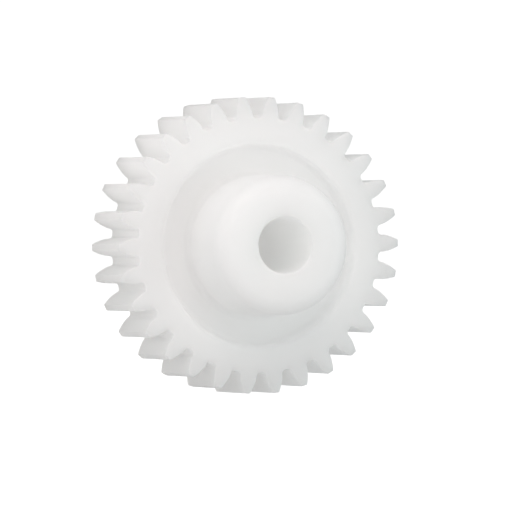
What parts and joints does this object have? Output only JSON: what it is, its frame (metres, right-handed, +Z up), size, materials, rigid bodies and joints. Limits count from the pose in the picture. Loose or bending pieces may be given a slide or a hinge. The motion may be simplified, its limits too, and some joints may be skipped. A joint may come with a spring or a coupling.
{
  "type": "spur gear",
  "caption": "White moulded plastic spur gear with straight involute teeth, a shallow recessed web, and a long round hub on one side with a plain through bore.",
  "frame": {"origin": "on the bore axis, half way across the tooth width", "axes": "+Y along the bore axis, away from the hub, which points to -Y; +X through the middle of a tooth; +Z up, with the gear standing on edge"},
  "size_m": [0.032, 0.017, 0.0318],
  "materials": {
    "acetal": "satin white acetal, as moulded"
  },
  "bodies": {
    "root": {"toothed_rim": "acetal", "web": "acetal", "hub": "acetal"}
  },
  "joints": []
}
